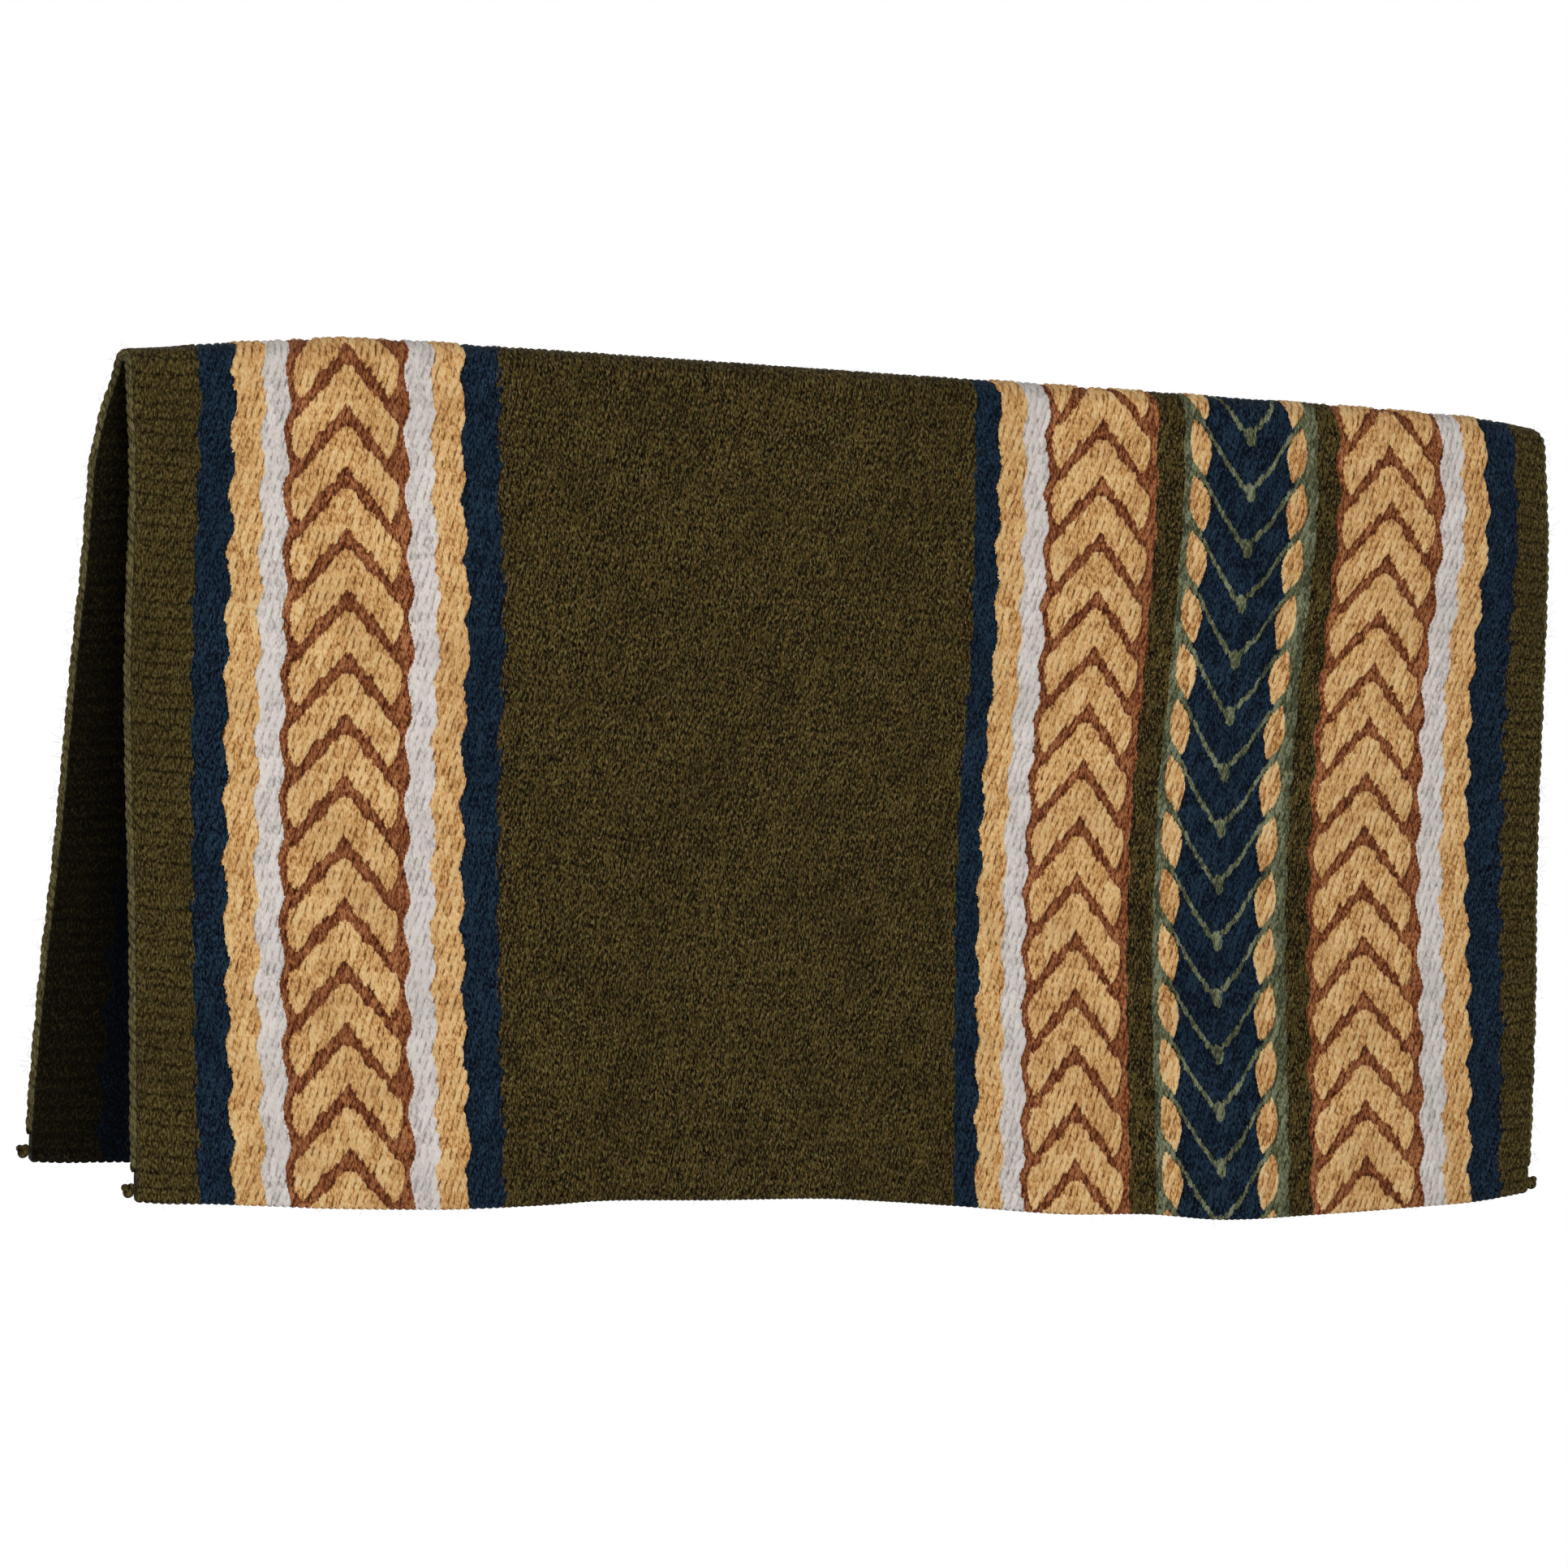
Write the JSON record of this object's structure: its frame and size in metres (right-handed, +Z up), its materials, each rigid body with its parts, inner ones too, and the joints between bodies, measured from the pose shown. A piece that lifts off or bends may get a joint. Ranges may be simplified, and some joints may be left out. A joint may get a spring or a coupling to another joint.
{
  "type": "folded wool saddle blanket",
  "caption": "Thick woven wool saddle blanket folded in half over a bar, with chevron stripes, a wide plain field, twined end cords and corner knots.",
  "frame": {"origin": "underside of the fold at the middle of its length, where the bar or the horse's back holds the blanket", "axes": "+X along the fold, from the end with the narrow plain border beside three stripes to the end with the diamond panel; -Y out of the front flap; +Z up"},
  "size_m": [0.8866, 0.1733, 0.468],
  "materials": {
    "olive_wool": "matte wool",
    "navy_wool": "matte wool",
    "gold_wool": "matte wool",
    "silver_wool": "matte wool",
    "rust_wool": "matte wool",
    "sage_wool": "matte wool",
    "warp_wool": "matte wool"
  },
  "bodies": {
    "root": {"olive_end_band_left": "olive_wool", "navy_band_1": "navy_wool", "gold_band_1": "gold_wool", "silver_band_1": "silver_wool", "chevron_band_1": "rust_wool", "silver_band_2": "silver_wool", "gold_band_2": "gold_wool", "navy_band_2": "navy_wool", "olive_field": "olive_wool", "navy_band_3": "navy_wool", "gold_band_3": "gold_wool", "silver_band_3": "silver_wool", "chevron_band_2": "rust_wool", "olive_band_1": "olive_wool", "sage_band_1": "sage_wool", "lozenge_band_1": "gold_wool", "navy_centre_band": "navy_wool", "lozenge_band_2": "gold_wool", "sage_band_2": "sage_wool", "olive_band_2": "olive_wool", "chevron_band_3": "rust_wool", "silver_band_4": "silver_wool", "gold_band_4": "gold_wool", "navy_band_4": "navy_wool", "olive_end_band_right": "olive_wool", "warp_sheet": "warp_wool", "end_cord_left": "olive_wool", "corner_knot_front_left": "olive_wool", "corner_knot_back_left": "olive_wool", "end_cord_right": "olive_wool", "corner_knot_front_right": "olive_wool", "corner_knot_back_right": "olive_wool"}
  },
  "joints": []
}
